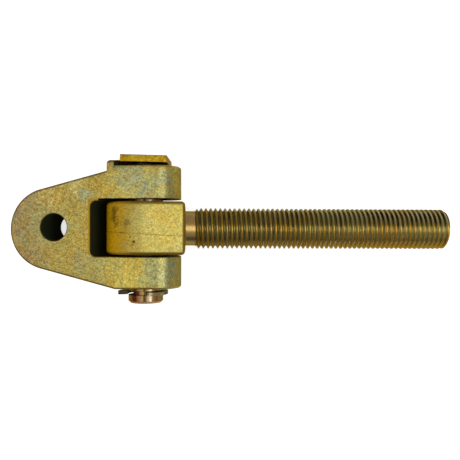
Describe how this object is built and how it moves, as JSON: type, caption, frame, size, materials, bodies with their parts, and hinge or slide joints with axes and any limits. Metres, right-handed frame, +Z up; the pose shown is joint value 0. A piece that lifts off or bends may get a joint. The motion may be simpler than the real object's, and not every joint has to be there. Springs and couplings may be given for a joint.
{
  "type": "clevis rod end",
  "caption": "Forged swivel clevis with a round tongue and cross hole, pinned to a forged eye on a long coarse threaded shank, plated in yellow zinc.",
  "frame": {"origin": "centre of the bottom of the box round the part as it lies on a flat surface", "axes": "+X along the part from the clevis toward the rod's tip, +Y along the hinge pin toward its head, +Z up from the surface it lies on"},
  "size_m": [0.3174, 0.1056, 0.0577],
  "materials": {
    "fork_plating": "rough forged steel in olive gold zinc plating",
    "rod_plating": "forged and rolled steel in yellow zinc plating",
    "pin_plating": "turned steel in iridescent zinc plating",
    "plate_plating": "sheared steel in orange gold zinc plating",
    "clip_steel": "dark spring steel"
  },
  "bodies": {
    "clevis": {"clevis_body": "fork_plating", "clevis_pin": "pin_plating", "pin_head_plate": "plate_plating", "retaining_clip": "clip_steel"},
    "rod": {"eye_rod": "rod_plating"}
  },
  "joints": [
    {"name": "rod_hinge", "type": "hinge", "parent": "clevis", "child": "rod", "pos_m": [-0.06302, 0.00153, 0.0297], "axis": [0, 1, 0], "range_deg": [-118, 97]}
  ]
}
